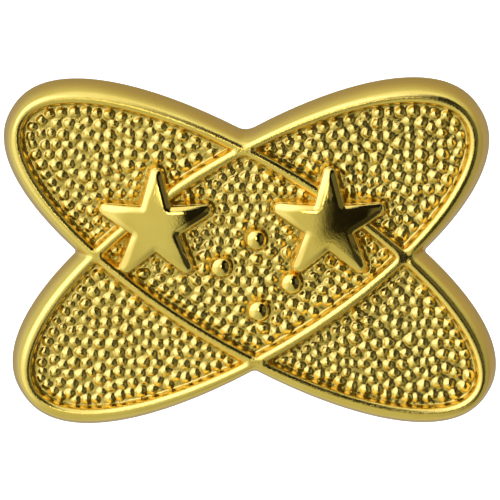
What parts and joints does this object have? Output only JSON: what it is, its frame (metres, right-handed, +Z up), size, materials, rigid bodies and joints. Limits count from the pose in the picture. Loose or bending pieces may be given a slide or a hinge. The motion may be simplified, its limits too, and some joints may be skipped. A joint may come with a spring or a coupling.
{
  "type": "crossed-oval insignia badge with butterfly clutches",
  "caption": "Small metal badge of two crossed ovals with raised rims, stars and pips on a pebbled ground, worn on posts with squeeze clutches.",
  "frame": {"origin": "middle of the flat back lip, midway across and up the badge", "axes": "+X to the viewer's right, +Y out of the back along the posts, +Z up as worn; the front faces -Y"},
  "size_m": [0.0318, 0.0118, 0.0228],
  "materials": {
    "gold_plate": "satin gold plate on die-struck brass, polished on the raised rims",
    "gold_polish": "polished gold plate, lightly brushed",
    "post_metal": "bright drawn wire, nickel plated",
    "solder": "dull grey solder with a soft sheen",
    "clutch_metal": "bright gold-coloured plate on pressed brass sheet",
    "spring_steel": "dark oiled spring wire"
  },
  "bodies": {
    "badge": {"badge_plate": "gold_plate", "left_star": "gold_polish", "right_star": "gold_polish", "pip_top": "gold_polish", "pip_left": "gold_polish", "pip_right": "gold_polish", "pip_bottom": "gold_polish", "left_post": "post_metal", "left_solder": "solder", "right_post": "post_metal", "right_solder": "solder"},
    "left_clutch": {"left_clutch_base": "clutch_metal", "left_clutch_cap": "clutch_metal", "left_clutch_spring": "spring_steel"},
    "left_outer_wing": {"left_clutch_outer_wing": "clutch_metal"},
    "left_inner_wing": {"left_clutch_inner_wing": "clutch_metal"},
    "right_clutch": {"right_clutch_base": "clutch_metal", "right_clutch_cap": "clutch_metal", "right_clutch_spring": "spring_steel"},
    "right_outer_wing": {"right_clutch_outer_wing": "clutch_metal"},
    "right_inner_wing": {"right_clutch_inner_wing": "clutch_metal"}
  },
  "joints": [
    {"name": "left_clutch_slide", "type": "slide", "parent": "badge", "child": "left_clutch", "axis": [0, 1, 0], "range_m": [0, 0.009]},
    {"name": "left_outer_wing_squeeze", "type": "hinge", "parent": "left_clutch", "child": "left_outer_wing", "pos_m": [-0.0098, 0.0053, 0.0044], "axis": [0, 0, -1], "range_deg": [0, 8], "stiffness_Nm_per_rad": 0.15},
    {"name": "left_inner_wing_squeeze", "type": "hinge", "parent": "left_clutch", "child": "left_inner_wing", "pos_m": [-0.0054, 0.0053, 0.0044], "axis": [0, 0, 1], "range_deg": [0, 8], "stiffness_Nm_per_rad": 0.15},
    {"name": "right_clutch_slide", "type": "slide", "parent": "badge", "child": "right_clutch", "axis": [0, 1, 0], "range_m": [0, 0.009]},
    {"name": "right_outer_wing_squeeze", "type": "hinge", "parent": "right_clutch", "child": "right_outer_wing", "pos_m": [0.0098, 0.0053, 0.0044], "axis": [0, 0, 1], "range_deg": [0, 8], "stiffness_Nm_per_rad": 0.15},
    {"name": "right_inner_wing_squeeze", "type": "hinge", "parent": "right_clutch", "child": "right_inner_wing", "pos_m": [0.0054, 0.0053, 0.0044], "axis": [0, 0, -1], "range_deg": [0, 8], "stiffness_Nm_per_rad": 0.15}
  ]
}
